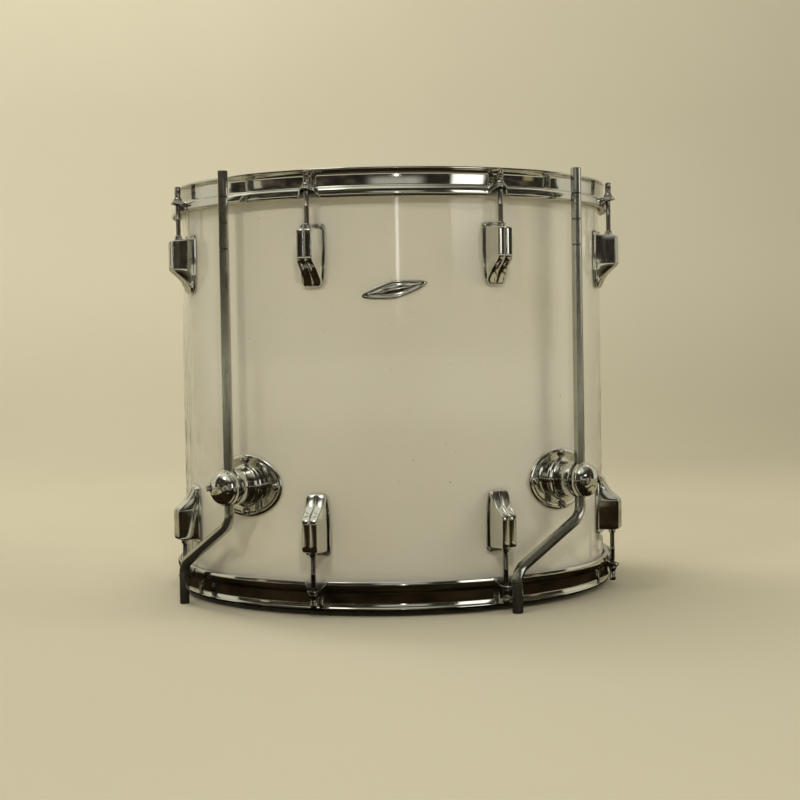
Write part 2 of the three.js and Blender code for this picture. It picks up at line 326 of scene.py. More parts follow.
class Nodes(Graph):
    """A material: its principled shader, its object coordinates and a chance value for each piece."""

    def __init__(self, name, **base):
        self.material = bpy.data.materials.new(name)
        self.material.use_nodes = True
        super().__init__(self.material.node_tree)
        self.shader = self.tree.nodes["Principled BSDF"]
        for key, value in base.items():
            self.shader.inputs[key.replace("_", " ")].default_value = value
        self.place = self.add("ShaderNodeTexCoord").outputs["Object"]
        self.chance = self.add("ShaderNodeObjectInfo").outputs["Random"]

    def noise(self, scale, detail, roughness, stretch=None, distortion=0.0):
        """Noise that is different on each piece."""
        shift = self.add("ShaderNodeVectorMath", operation="ADD")
        spread = self.add("ShaderNodeVectorMath", operation="SCALE")
        spread.inputs[0].default_value = (3.1, 1.7, 2.3)
        self.link(self.chance, spread.inputs["Scale"])
        self.link(self.place, shift.inputs[0])
        self.link(spread.outputs[0], shift.inputs[1])
        source = shift.outputs[0]
        if stretch:
            scaled = self.add("ShaderNodeVectorMath", operation="MULTIPLY")
            scaled.inputs[1].default_value = stretch
            self.link(source, scaled.inputs[0])
            source = scaled.outputs[0]
        return self.field(source, scale, detail, roughness, distortion)

    def colour(self, source):
        self.link(source, self.shader.inputs["Base Color"])

    def rough(self, source):
        self.link(source, self.shader.inputs["Roughness"])

    def bump(self, *layers):
        """Stacks (height, strength, distance in mm) layers."""
        normal = None
        for height, strength, distance in layers:
            node = self.add("ShaderNodeBump")
            node.inputs["Strength"].default_value = strength
            node.inputs["Distance"].default_value = distance * MM
            self.link(height, node.inputs["Height"])
            if normal:
                self.link(normal, node.inputs["Normal"])
            normal = node.outputs["Normal"]
        self.link(normal, self.shader.inputs["Normal"])


DARK_BAND_EDGE = 0.2  # half the width over which a darkened band fades in, grime and painted shade alike


def grime_and_shade_bands(*spans):
    """Where a piece is darkened: between each pair of heights, in its own millimetres. Grime on a rod's
    thread, painted shade in a leg's grooves.
    """

    def mask(m):
        up, total = m.split(m.place)[2], 0.0
        for low, high in spans:
            below = m.fall(up, (high - DARK_BAND_EDGE) * MM, (high + DARK_BAND_EDGE) * MM)
            above = m.rise(up, (low - DARK_BAND_EDGE) * MM, (low + DARK_BAND_EDGE) * MM)
            total = m.maths("MAXIMUM", total, m.times(above, below))
        return total

    return mask


def shade_under_ears(m):
    """Painted shade on a hoop: the faces under its ears, which look toward the shell and get little light."""
    down = m.times(m.split(m.add("ShaderNodeTexCoord").outputs["Normal"])[2], -1.0)
    steep = m.rise(down, 0.45, 0.75)
    return m.times(steep, m.rise(m.split(m.place)[2], (EAR_Z - 5) * MM, (EAR_Z - 4) * MM))


def chrome(name, tone, rough_low, rough_high, pits=0.35, haze=0.5, grime_and_shade_mask=None, grime_and_shade_strength=0.6, metal=1.0):
    """Old bright plate: cloudy haze, hairline scratches, dark pits, and, where the mask says, grime on some
    pieces and painted shade on others.
    """
    m = Nodes(name, Metallic=metal)
    clouds = m.noise(38, 6, 0.6)
    fine = m.noise(900, 3, 0.6)
    hair = m.noise(60, 3, 0.7, stretch=(9, 9, 0.8), distortion=0.6)
    specks = m.ramp(m.noise(620, 2, 0.5), [(0.0, 0.0), (0.70, 0.0), (0.76, 1.0)])
    patches = m.ramp(clouds, [(0.35, 0.0), (0.75, 1.0)])
    dirt = m.times(m.times(specks, patches), pits)
    dull = tuple(c * 0.8 for c in tone)
    base = m.blend(m.times(patches, haze), tone, dull)
    # Darkens the base where the mask says: grime on a rod's thread, painted shade in recesses and under ears
    if grime_and_shade_mask:
        base = m.blend(m.times(grime_and_shade_mask(m), grime_and_shade_strength), base, (0.06, 0.05, 0.035))
    m.colour(m.blend(dirt, base, (0.10, 0.075, 0.05)))
    spread = m.ramp(hair, [(0.3, rough_low), (0.75, rough_high)])
    m.rough(m.maths("ADD", spread, m.times(dirt, 0.35)))
    m.bump((hair, 0.05, 0.05), (fine, 0.04, 0.03), (clouds, 0.06, 0.35))
    return m.material


def wrap_material():
    """Aged white gloss covering: faint ripples, yellowed cloud, dust specks and hairlines."""
    m = Nodes("wrap_gloss", IOR=1.5)
    clouds = m.noise(5.5, 5, 0.55)
    low = m.noise(2.2, 3, 0.5)
    specks = m.ramp(m.noise(260, 2, 0.4), [(0.0, 0.0), (0.745, 0.0), (0.775, 1.0)])
    sparse = m.ramp(m.noise(17, 2, 0.4), [(0.50, 0.0), (0.62, 1.0)])
    hair = m.noise(24, 3, 0.75, stretch=(2.2, 2.2, 30), distortion=1.2)
    scratches = m.ramp(hair, [(0.0, 0.0), (0.66, 0.0), (0.69, 1.0), (0.72, 0.0)])
    aged = m.blend(m.ramp(clouds, [(0.3, 0.0), (0.8, 1.0)]), (0.80, 0.775, 0.68), (0.735, 0.70, 0.585))
    tinted = m.blend(m.ramp(low, [(0.35, 0.0), (0.7, 0.55)]), aged, (0.82, 0.805, 0.725))
    dusty = m.blend(m.times(m.times(specks, sparse), 0.55), tinted, (0.33, 0.27, 0.19))
    m.colour(m.blend(m.times(scratches, 0.10), dusty, (0.60, 0.56, 0.47)))
    m.rough(m.maths("ADD", m.ramp(clouds, [(0.3, 0.05), (0.75, 0.10)]), m.times(scratches, 0.15)))
    m.shader.inputs["Coat Weight"].default_value = 0.35
    m.shader.inputs["Coat Roughness"].default_value = 0.03
    m.shader.inputs["Subsurface Weight"].default_value = 0.05
    m.shader.inputs["Subsurface Radius"].default_value = (0.004, 0.003, 0.002)
    ripple = m.noise(13, 2, 0.4, stretch=(1, 1, 0.22))
    m.bump((ripple, 0.20, 0.9), (m.noise(480, 2, 0.5), 0.03, 0.04), (scratches, 0.06, 0.04))
    return m.material


def head_material():
    """Coated film: sprayed grain and faint grey stick marks towards the middle."""
    m = Nodes("head_coated", Roughness=0.55, IOR=1.45)
    grain = m.noise(1500, 3, 0.6)
    blotch = m.noise(16, 5, 0.6)
    marks = m.noise(42, 4, 0.7, distortion=2.0)
    x, y, _ = m.split(m.place)
    squared = m.maths("ADD", m.maths("POWER", x, 2.0), m.maths("POWER", y, 2.0))
    share = m.times(m.maths("POWER", squared, 0.5), 4.3)  # 0 at the head's centre, 1 at its rim
    middle = m.ramp(share, [(0.0, 1.0), (0.45, 0.7), (0.8, 0.0)])
    grey = m.times(m.ramp(marks, [(0.5, 0.0), (0.75, 1.0)]), middle)
    base = m.blend(m.ramp(blotch, [(0.3, 0.0), (0.8, 1.0)]), (0.68, 0.665, 0.615), (0.60, 0.58, 0.52))
    m.colour(m.blend(m.times(grey, 0.30), base, (0.42, 0.41, 0.40)))
    m.rough(m.ramp(grain, [(0.3, 0.48), (0.7, 0.66)]))
    m.shader.inputs["Subsurface Weight"].default_value = 0.08
    m.shader.inputs["Subsurface Radius"].default_value = (0.003, 0.003, 0.003)
    m.bump((grain, 0.35, 0.06), (blotch, 0.08, 0.3))
    return m.material


def ply_material():
    """Lacquered maple ply with its grain round the shell."""
    m = Nodes("shell_ply", Roughness=0.4, IOR=1.5)
    grain = m.noise(14, 6, 0.65, stretch=(1, 1, 14), distortion=1.4)
    pores = m.noise(160, 3, 0.6, stretch=(1, 1, 12))
    base = m.ramp(grain, [(0.25, (0.43, 0.26, 0.13)), (0.5, (0.58, 0.39, 0.22)), (0.75, (0.66, 0.48, 0.30))])
    dark = m.ramp(pores, [(0.55, 0.0), (0.7, 0.5)])
    m.colour(m.blend(dark, base, (0.28, 0.16, 0.08)))
    m.rough(m.ramp(grain, [(0.3, 0.35), (0.7, 0.5)]))
    m.bump((pores, 0.12, 0.08), (grain, 0.05, 0.2))
    return m.material


def alloy_material():
    """Plain rolled alloy of a flesh hoop, dulled and a little stained."""
    m = Nodes("flesh_alloy", Metallic=1.0)
    brushed = m.noise(240, 3, 0.6, stretch=(0.6, 0.6, 8))
    stain = m.noise(22, 5, 0.6)
    m.colour(m.blend(m.ramp(stain, [(0.4, 0.0), (0.75, 0.7)]), (0.62, 0.62, 0.61), (0.36, 0.33, 0.28)))
    m.rough(m.ramp(brushed, [(0.3, 0.30), (0.7, 0.5)]))
    m.bump((brushed, 0.12, 0.05))
    return m.material


BRIGHT = (0.75, 0.755, 0.71)
# Painted shade in the legs' index grooves; grime on the rods' thread below the neck
grooves = grime_and_shade_bands(*[(LEG_TOP - down - 0.55, LEG_TOP - down + 0.55) for down in LEG_MARKS])
thread = grime_and_shade_bands((LUG_TOP - 20, ROD_NECK - 0.4))
CHROME = chrome("chrome_plate", BRIGHT, 0.035, 0.12)
# The legs' index grooves are darkened with painted shade
CHROME_LEG = chrome(
    "chrome_legs", (0.55, 0.55, 0.49), 0.09, 0.24, pits=0.7, haze=0.8, grime_and_shade_mask=grooves, grime_and_shade_strength=0.85, metal=0.95
)
# The hoops get painted shade, near black, on the faces under their ears
CHROME_HOOP = chrome("chrome_hoops", BRIGHT, 0.035, 0.12, grime_and_shade_mask=shade_under_ears, grime_and_shade_strength=0.94)
ROD_STEEL = chrome("rod_steel", (0.52, 0.49, 0.44), 0.12, 0.30, pits=0.7, haze=1.0, grime_and_shade_mask=thread)
STEEL = chrome("plated_steel", (0.60, 0.575, 0.53), 0.10, 0.26, pits=0.5, haze=0.9)
WRAP = wrap_material()
HEAD = head_material()
PLY = ply_material()
ALLOY = alloy_material()


# ---- wrap: a smooth tube with its overlapped seam ----
SEAM = -73.0  # degrees from the front
SEAM_WIDTH = 14.0
SEAM_RISE = 0.28
WRAP_EDGE = 0.25  # bevel at the wrap's upper and lower edge


def wrap_mesh():
    inner = WRAP_R - 1.2
    lap = math.degrees(SEAM_WIDTH / WRAP_R)
    plain = [SEAM + lap + (360 - lap) * i / 360 for i in range(361)]
    steps = [SEAM + lap * t for t in (0.03, 0.25, 0.5, 0.75, 0.97)]
    rings = []
    for a in [*plain, *steps]:
        inside_lap = a - SEAM < lap - 1e-6
        r = WRAP_R + (SEAM_RISE if inside_lap else 0.0)
        c, s = math.sin(RAD(a)), -math.cos(RAD(a))
        profile = [(inner, -WRAP_REACH), (r - WRAP_EDGE, -WRAP_REACH), (r, -WRAP_REACH + WRAP_EDGE)]
        profile += [(r, z) for z in (-120, -60, 0, 60, 120)]
        profile += [(r, WRAP_REACH - WRAP_EDGE), (r - WRAP_EDGE, WRAP_REACH), (inner, WRAP_REACH)]
        rings.append([Vector((q * c, q * s, z)) for q, z in profile])
    return finished_mesh(Build().loft(rings, join=True), "wrap", 40)


mid = Matrix.Translation(AXIS + Vector((0, 0, MID_Z)))
upside = mid @ Matrix.Rotation(math.pi, 4, "X")
piece("wrap_covering", wrap_mesh(), WRAP, "drum", mid, ["wrap"])
frame["nodes"]["shell"].data.materials.clear()
frame["nodes"]["shell"].data.materials.append(PLY)


# ---- heads and flesh hoops ----
def head_mesh():
    top = EDGE_Z + 0.9
    hem = EAR_Z - 3.6
    flat = [(0, top), (60, top), (120, top), (180, top), (222, top), (226.5, top - 0.05)]
    knee = [(228.6 + 1.5 * math.sin(a), top - 1.6 + 1.5 * math.cos(a)) for a in (0.2, 0.6, 1.0, 1.35)]
    profile = [(0, EDGE_Z + 0.35), (228.4, EDGE_Z + 0.35), (229.4, EDGE_Z - 0.8), (229.4, hem), (230.1, hem)]
    profile += [(230.1, top - 2.4)] + knee[::-1] + flat[::-1]
    return finished_mesh(Build().turn(profile, 256), "head", 50)


def flesh_mesh():
    top = EAR_Z - SHEET - 0.4
    r0, r1, low = 230.4, 235.3, top - 6.6
    e = 0.5  # bevel
    profile = [
        (r0, low + e), (r0 + e, low), (r1 - e, low), (r1, low + e),
        (r1, top - e), (r1 - e, top), (r0 + e, top), (r0, top - e),
    ]
    return finished_mesh(Build().turn(profile, 256, ring=True), "flesh_hoop", 50)


# ---- hoops: pressed steel with a rolled rim, a rounded skirt and ears at the rods ----
ARCH_EAR, ARCH_SKIRT = 4.4, 13.2  # half widths of the arch at the ear and at the skirt's free edge
ARCH_REACH = 14.0  # rings stand close together this far to each side of a rod
EAR_SPREAD, EAR_PROUD = 6.9, 12.3
RIM_IN = 231.3


def hoop_section(t):
    """The sheet's cross-section, t millimetres round from the nearest rod."""
    a = abs(t)
    fall = ease((a - ARCH_EAR) / (ARCH_SKIRT - ARCH_EAR))  # 0 on the ear, 1 on the full skirt
    reach = SKIRT_R + EAR_PROUD * math.exp(-((a / EAR_SPREAD) ** 4))
    depth = mix(SHEET + 0.25, EAR_Z - SKIRT_Z, fall)
    low = EAR_Z - depth
    corner = min(3.6, depth * 0.45)
    edge = min(1.15, depth * 0.4)
    flare = 0.9 * math.sin(math.pi * fall) + 0.25 * fall
    outer = [
        (RIM_IN, HALF - 1.0), (231.6, HALF - 0.35), (232.3, HALF), (233.6, HALF - 0.02), (234.5, HALF - 0.4),
        (234.9, HALF - 1.3), (234.85, HALF - 2.3), (234.3, HALF - 3.1), (233.75, HALF - 3.8),
        (233.6, HALF - 8.0), (233.6, EAR_Z + 2.0), (233.8, EAR_Z + 0.8), (234.3, EAR_Z + 0.15),
        (235.0, EAR_Z),
    ]
    for bend in (RAD(20 * i) for i in range(5)):
        outer.append((reach - corner + corner * math.sin(bend), EAR_Z - corner + corner * math.cos(bend)))
    top, foot = EAR_Z - corner, low + edge
    for f in (0.2, 0.45, 0.7, 0.9):
        outer.append((reach + 0.55 * fall * math.sin(math.pi * f) + flare * f * f, mix(top, foot, f)))
    tip, lip = reach + flare, low + 0.3 * edge
    outer += [(tip, foot), (tip - 0.2, lip), (tip - 0.7, low), (tip - 1.5, low), (tip - 2.0, lip)]
    roof, back = EAR_Z - SHEET, reach - SHEET
    inner = [
        (tip - 2.25, min(foot, roof)), (mix(tip - 2.3, back, 0.6), min(mix(foot, top, 0.5), roof)),
        (back - 0.2, min(top, roof - 0.05)), (back - 1.2, roof),
        (mix(RIM_IN, back, 0.5), roof), (RIM_IN, roof), (RIM_IN, EAR_Z + 4), (RIM_IN, HALF - 8),
    ]
    return outer + inner


def hoop_mesh():
    pitch = 360 / ROD_COUNT
    near, plain = 40, 30  # rings on each side of a rod, and between two rods
    span = [ARCH_REACH * i / near for i in range(near + 1)]
    span = [-x for x in reversed(span[1:])] + span
    edge = math.degrees(ARCH_REACH / SKIRT_R)
    turns = []
    for k in range(ROD_COUNT):
        centre = ROD_FIRST + pitch * k
        turns += [(centre + math.degrees(t / SKIRT_R), t) for t in span]
        start, stop = centre + edge, centre + pitch - edge
        turns += [(mix(start, stop, (i + 1) / (plain + 1)), math.inf) for i in range(plain)]
    rings = []
    for a, t in turns:
        c, s = math.sin(RAD(a)), -math.cos(RAD(a))
        rings.append([Vector((r * c, r * s, z)) for r, z in hoop_section(t)])
    mesh = finished_mesh(Build().loft(rings, join=True), "hoop", 42)
    holes = []
    for k in range(ROD_COUNT):
        a = RAD(ROD_FIRST + pitch * k)
        at = (ROD_R * math.sin(a), -ROD_R * math.cos(a), 0)
        holes.append(drill(3.2, EAR_Z - 6, EAR_Z + 5, 24, centre=at))
    return cut(mesh, holes, 42)


head, flesh, hoop = head_mesh(), flesh_mesh(), hoop_mesh()
for end, place in (("top", mid), ("bottom", upside)):
    piece(f"drumhead_{end}", head, HEAD, "drum", place, [f"head_{end}"])
    piece(f"flesh_ring_{end}", flesh, ALLOY, "drum", place, [f"flesh_hoop_{end}"])
    piece(f"rim_hoop_{end}", hoop, CHROME_HOOP, "drum", place, [f"hoop_{end}"])


# ---- lugs ----
# Against the distance below a casting's top: half the width at the back, the reach of its face, and half
# the width of the face.
LUG_EDGE = [
    (0, 10.2), (0.35, 11.5), (1.2, 12.5), (3, 13.2), (9, 13.5), (28, 13.6), (42, 13.0), (53, 11.8), (56, 11.1),
    (58.5, 9.9), (60, 8.3), (60.7, 6.8), (61, 5.2),
]
LUG_OUT = [
    (0, 0.9), (0.4, 2.2), (1.1, 2.9), (1.9, 2.85), (2.7, 1.7), (4.6, 1.6), (4.9, 15.5), (5.2, 20.2),
    (5.9, 22.3), (7.2, 23.3), (9, 23.6), (34, 23.6), (35.4, 23.3), (36.7, 22.6), (38.2, 21.3), (40.5, 18.6),
    (43.5, 14.9), (46.5, 11.9), (50, 9.3), (54, 7.2), (57.5, 5.6), (59.3, 4.6), (60.4, 3.2), (61, 1.4),
]
LUG_NOSE = [(0, 7.6), (4.7, 6.9), (5.6, 7.5), (7, 7.9), (34, 7.9), (40, 8.2), (48, 9.0), (57, 10.2), (61, 9.0)]
LUG_ROWS = (
    0, 0.2, 0.4, 0.75, 1.1, 1.5, 1.9, 2.3, 2.7, 3.6, 4.6, 4.75, 4.9, 5.2, 5.5, 5.9, 6.5, 7.2, 8, 9, 12, 17, 22,
    28, 32, 34, 34.7, 35.4, 36, 36.7, 37.4, 38.2, 39.3, 40.5, 42, 43.5, 45, 46.5, 48.2, 50, 52, 54, 56, 57.5,
    58.5, 59.3, 59.9, 60.4, 60.7, 61,
)
LOBE = (178, 168, 150, 128, 106, 84, 62, 42, 26, 13, 4)  # degrees round one of the face's two swellings


def lug_section(s):
    """Half of the casting's section s below its top: (across, out) from the middle to the back edge."""
    edge, out, nose = along(LUG_EDGE, s), along(LUG_OUT, s), along(LUG_NOSE, s)
    nose = min(nose, edge - 1.0)
    floor, rim = min(1.5, out), min(2.9, out)
    relief = ease((out - 3.2) / 3.5)  # 0 where the casting is only its flange
    lobe = min(1.8, max(0.0, out - floor) * 0.45) * relief
    middle, half = nose / 2, nose / 2 - 0.12
    face = [(0.0, out - lobe * 1.04)]
    for angle in LOBE:
        bulge = abs(math.sin(RAD(angle))) ** 0.5
        face.append((middle + half * math.cos(RAD(angle)), out - lobe * (1 - bulge)))
    foot = max(min(edge - 1.95, nose + 3.9), nose + 0.15)
    wall = [
        (mix(nose, foot, f) + 0.45 * relief * math.sin(math.pi * f), mix(out - lobe - 0.3 * relief, floor, f))
        for f in (0.02, 0.15, 0.35, 0.55, 0.75, 0.9, 1.0)
    ]
    lip = [
        (min(edge - 1.85, foot + 0.05), floor), (edge - 1.8, mix(floor, rim, 0.6)), (edge - 1.35, rim),
        (edge - 0.7, rim - 0.02), (edge - 0.2, max(0.25, rim - 0.5)), (edge, max(0.2, rim - 1.3)), (edge, 0.0),
    ]
    return face + wall + lip


def lug_mesh():
    rings = []
    for s in LUG_ROWS:
        half, z = lug_section(s), LUG_TOP - s
        left = [Vector((LUG_BACK + out, -y, z)) for y, out in half[1:]]
        rings.append(left[::-1] + [Vector((LUG_BACK + out, y, z)) for y, out in half])
    mesh = finished_mesh(Build().loft(rings), "lug", 34)
    return cut(mesh, [drill(3.05, LUG_TOP - 19, LUG_TOP + 6, 24, centre=(ROD_R, 0, 0))], 34)


def insert_mesh():
    """The threaded insert whose rounded collar shows where the rod enters the casting."""
    top, foot = LUG_TOP - 0.7, LUG_TOP - 9
    profile = [
        (2.75, foot), (3.0, foot), (3.0, LUG_TOP - 5.0), (4.3, LUG_TOP - 4.9), (4.3, LUG_TOP - 3.9),
        (3.7, LUG_TOP - 3.5), (3.5, top - 0.5), (3.1, top), (2.75, top),
    ]
    return finished_mesh(Build().turn(profile, 28, ring=True, centre=(ROD_R, 0, 0)), "insert", 40)


# ---- tension rods ----
THREAD_PITCH, THREAD_R, THREAD_DEPTH = 1.06, 2.34, 0.4


def rod_mesh():
    """Square key head, bell, washer, plain shank and rolled thread, about the rod's own axis."""
    seat = EAR_Z + 0.3
    build = Build()
    bell = [
        (0, seat + 1.5), (4.1, seat + 1.5), (4.35, seat + 2.0), (4.2, seat + 2.7), (3.5, seat + 3.6),
        (3.0, seat + 5.0), (2.95, seat + 7.0), (3.2, seat + 8.0), (3.35, seat + 8.6), (3.1, seat + 9.0),
        (0, seat + 9.0),
    ]
    build.turn(bell, 32)
    washer = [
        (2.7, seat), (5.2, seat), (5.4, seat + 0.35), (5.3, seat + 0.9), (4.6, seat + 1.5), (2.7, seat + 1.6),
    ]
    build.turn(washer, 32, ring=True)
    key = ((8.7, 0.9), (9.0, 1.0), (14.6, 0.96), (15.2, 0.86), (15.5, 0.66))
    build.square_bar([(seat + h, k) for h, k in key], 2.6, 2.1)
    shank = [
        (0, seat + 1.8), (2.45, seat + 1.8), (2.45, ROD_NECK + 1.2), (2.75, ROD_NECK + 0.9),
        (2.75, ROD_NECK + 0.1), (2.4, ROD_NECK - 0.5), (0, ROD_NECK - 0.5),
    ]
    build.turn(shank[::-1], 24)
    top, foot, sides, rows_each_turn = ROD_NECK - 0.3, LUG_TOP - 14, 16, 4
    rings = []
    for k in range(int((top - foot) * rows_each_turn / THREAD_PITCH) + 1):
        z = top - k * THREAD_PITCH / rows_each_turn
        ring = []
        for i in range(sides):
            a = 2 * math.pi * i / sides
            r = THREAD_R + THREAD_DEPTH / 2 * math.cos(2 * math.pi * z / THREAD_PITCH + a)
            ring.append(Vector((r * math.cos(a), r * math.sin(a), z)))
        rings.append(ring)
    build.loft(rings[::-1])
    return finished_mesh(build, "rod", 50)


lug, insert, rod = lug_mesh(), insert_mesh(), rod_mesh()
for end in ("top", "bottom"):
    for k in range(1, ROD_COUNT + 1):
        node = f"rod_{end}_{k}"
        place = station(ROD_FIRST + 360 / ROD_COUNT * (k - 1), MID_Z, end == "bottom")
        piece(f"lug_casting_{end}_{k}", lug, CHROME, "drum", place, [f"lug_{end}_{k}"])
        piece(f"lug_insert_{end}_{k}", insert, STEEL, "drum", place)
        key_turn = Matrix.Rotation(RAD(13 * k), 4, "Z")  # the key heads don't stand alike
        stand = place @ Matrix.Translation((ROD_R * MM, 0, 0)) @ key_turn
        piece(f"tension_{node}", rod, ROD_STEEL, f"{node}_body", stand, [node])


# ---- leg brackets ----
PLATE_W, PLATE_H = 45.0, 31.0  # half sizes of the oval
PLATE_FACE = 231.4
BOLTS = ((40.0, 0.0), (-40.0, 0.0), (0.0, 25.7), (0.0, -25.7))  # round the shell and up


def on_shell(r, across, up):
    """A point r millimetres from the axis, across millimetres round the shell."""
    a = across / WRAP_R
    return Vector((r * math.cos(a), r * math.sin(a), up))


def to_bolt(verts, across, up):
    """Points made about the X axis, moved to a bolt's place on the shell."""
    swing = Matrix.Rotation(across / WRAP_R, 3, "Z")
    return [swing @ v + Vector((0, 0, up)) for v in verts]


def oval(r, wide, high, steps):
    """An oval ring of points on a cylinder of radius r, from its half sizes."""
    turns = [2 * math.pi * i / steps for i in range(steps)]
    return [on_shell(r, wide * math.cos(a), high * math.sin(a)) for a in turns]


def plate_build():
    """An oval pressing bent to the shell, with a rolled edge."""
    rows = [  # share of the outline's size, less millimetres, and radius
        (0.0, 0.0, 229.1), (1.0, 0.3, 229.1), (1.0, 0.0, 229.5), (1.0, 0.0, 230.1), (1.0, 0.5, 230.8),
        (1.0, 1.4, 231.35), (1.0, 2.6, 231.7), (1.0, 3.6, 231.8), (1.0, 4.3, 231.7), (1.0, 4.9, 231.45),
        (1.0, 5.6, PLATE_FACE), (1.0, 6.2, PLATE_FACE),
    ]
    rows += [(share / 20, 0.0, PLATE_FACE) for share in range(15, -1, -1)]
    rings = [oval(r, PLATE_W * share - less, PLATE_H * share - less, 96) for share, less, r in rows]
    return Build().loft(rings, caps=False)


def leg_channel():
    return drill(6.0, -40, 40, 32, centre=(LEG_R, 0, 0))


def screw_holes(low, high):
    return [drill(2.9, low, high, 20, axis="x", centre=(0, y, 0)) for y in (-SCREW_OUT, SCREW_OUT)]


def boss_build():
    end = LEG_R - CLAMP_GAP / 2
    profile = [
        (0, 229.8), (21.4, 229.8), (21.4, 231.8), (21.0, 232.4), (20.2, 232.7), (19.2, 233.0), (18.4, 233.7),
        (17.95, 234.6), (17.75, 235.8), (CLAMP_R, 242.6), (17.3, 242.9), (17.3, 243.5), (CLAMP_R, 243.8),
        (CLAMP_R, end - 1.0), (17.4, end - 0.4), (16.8, end), (0, end),
    ]
    return Build().turn(profile, 80, axis="x")


def boss_mesh():
    end = LEG_R - CLAMP_GAP / 2
    return cut(finished_mesh(boss_build(), "boss", 40), [leg_channel(), *screw_holes(end - 9, end + 3)], 40)


def plate_mesh():
    tools = []
    for bolt in BOLTS:
        hole = drill(2.8, 222, 240, 20, axis="x")
        hole.verts = to_bolt(hole.verts, *bolt)
        tools.append(hole)
    return cut(finished_mesh(plate_build(), "plate", 50), tools, 50)


def bolts_build():
    """Four domed bolts on thin washers, with the backing plate inside the shell."""
    head = [
        (0, 236.0), (1.6, 235.85), (2.8, 235.3), (3.6, 234.4), (4.0, 233.2), (4.05, 232.5), (3.9, 232.3),
        (2.4, 232.3), (2.4, 215), (0, 215),
    ]
    washer = [(2.5, 231.75), (4.7, 231.75), (4.85, 231.95), (4.7, 232.2), (2.5, 232.25)]
    nut = [(2.45, 217.2), (4.6, 217.2), (4.6, 214.0), (2.45, 214.0)]
    build = Build()
    for bolt in BOLTS:
        for profile, sides, ring in ((head, 28, False), (washer, 28, True), (nut, 6, True)):
            part = Build().turn(profile, sides, axis="x", ring=ring)
            build.add(to_bolt(part.verts, *bolt), part.faces)
    rows = ((0.0, 218.4), (0.98, 218.4), (1.0, 218.2), (1.0, 217.4), (0.98, 217.2), (0.0, 217.2))
    return build.loft([oval(r, PLATE_W * share, PLATE_H * share, 64) for share, r in rows], caps=False)


def cap_mesh():
    start = LEG_R + CLAMP_GAP / 2
    shoulder, crown, height = start + 5.3, 16.75, 10.7
    profile = [
        (0, start), (17.0, start), (17.5, start + 0.3), (CLAMP_R, start + 0.9), (CLAMP_R, start + 4.3),
        (17.5, start + 4.9), (17.1, start + 5.15), (crown, shoulder),
    ]
    dome = [RAD(7.5 * i) for i in range(1, 13)]
    profile += [(crown * math.cos(a), shoulder + height * math.sin(a)) for a in dome]
    mesh = finished_mesh(Build().turn(profile, 72, axis="x"), "cap", 30)
    tools = [leg_channel()]
    for y, hole in zip((-SCREW_OUT, SCREW_OUT), screw_holes(start - 2, start + 30)):
        recess = [(0, start + 8.8), (4.7, start + 8.8), (5.2, start + 30), (0, start + 30)]
        tools += [hole, Build().turn(recess, 32, axis="x", centre=(0, y, 0))]
    return cut(mesh, tools, 40)


def screw_mesh():
    """Clamp screw with a flange and a square key head, about its own axis."""
    start = LEG_R + CLAMP_GAP / 2
    seat = start + 9.1
    build = Build()
    shaft = [(0, start - 10.6), (2.2, start - 10.6), (2.55, start - 10.1), (2.55, seat + 0.2), (0, seat + 0.2)]
    build.turn(shaft, 24, axis="x")
    flange = [
        (0, seat), (4.1, seat), (4.3, seat + 0.4), (4.25, seat + 1.3), (3.8, seat + 2.0), (3.3, seat + 2.3),
        (0, seat + 2.3),
    ]
    build.turn(flange, 32, axis="x")
    key = ((2.0, 1.0), (5.9, 1.0), (6.6, 0.93), (7.0, 0.8), (7.1, 0.5))
    build.square_bar([(seat + h, k) for h, k in key], 2.9, 2.35, axis="x")
    return finished_mesh(build, "screw", 40)


# ---- legs ----
LEG_FLATS = 9.525  # across the bar's flats
LEG_OFFSET = 84.3  # how far the foot stands to the side of the upper part
LEG_UP, LEG_LOW = 88.0, 40.8  # heights where the straight parts would meet the slanted one
LEG_BEND = 18.0
LEG_TURN = -100.0


def leg_path():
    """Centre line as (sideways, up, heading from straight down, size) stations."""
    slope = math.atan2(LEG_OFFSET, LEG_UP - LEG_LOW)
    tangent = LEG_BEND * math.tan(slope / 2)
    turns = [slope * i / 18 for i in range(19)]
    up = [(LEG_BEND * (1 - math.cos(a)), LEG_UP + tangent - LEG_BEND * math.sin(a), a) for a in turns]
    low = [(LEG_OFFSET - x, LEG_UP + LEG_LOW - z, a) for x, z, a in reversed(up)]
    stations = [(0, LEG_TOP, 0, 0.86), (0, LEG_TOP - 0.5, 0, 0.97), (0, LEG_TOP - 1.1, 0, 1.0)]
    for down in LEG_MARKS:
        groove = ((0.75, 1.0), (0.45, 0.88), (-0.45, 0.88), (-0.75, 1.0))
        stations += [(0, LEG_TOP - down + step, 0, size) for step, size in groove]
    stations += [(x, z, a, 1.0) for x, z, a in up + low]
    stations += [(LEG_OFFSET, 0.9, 0, 1.0), (LEG_OFFSET, 0.3, 0, 0.96), (LEG_OFFSET, 0.0, 0, 0.88)]
    return stations


def leg_mesh():
    corner = LEG_FLATS / math.sqrt(3)
    soft = 0.55  # rounding along the bar's corners
    section = []
    for k in range(6):
        c, s = math.cos(RAD(30 + 60 * k)), math.sin(RAD(30 + 60 * k))
        for side in (-1, 0, 1):
            out = corner - (soft * 0.55 if side else 0.12)
            px, py = out * c - side * soft * s, out * s + side * soft * c
            trim = min(1.0, corner * 0.985 / math.hypot(px, py))
            section.append((px * trim, py * trim))
    rings = []
    for x, z, a, size in leg_path():
        centre, across = Vector((x, 0, z)), Vector((math.cos(a), 0, math.sin(a)))
        rings.append([centre + across * px * size + Vector((0, py * size, 0)) for px, py in section])
    return finished_mesh(Build().loft(rings), "leg", 24)


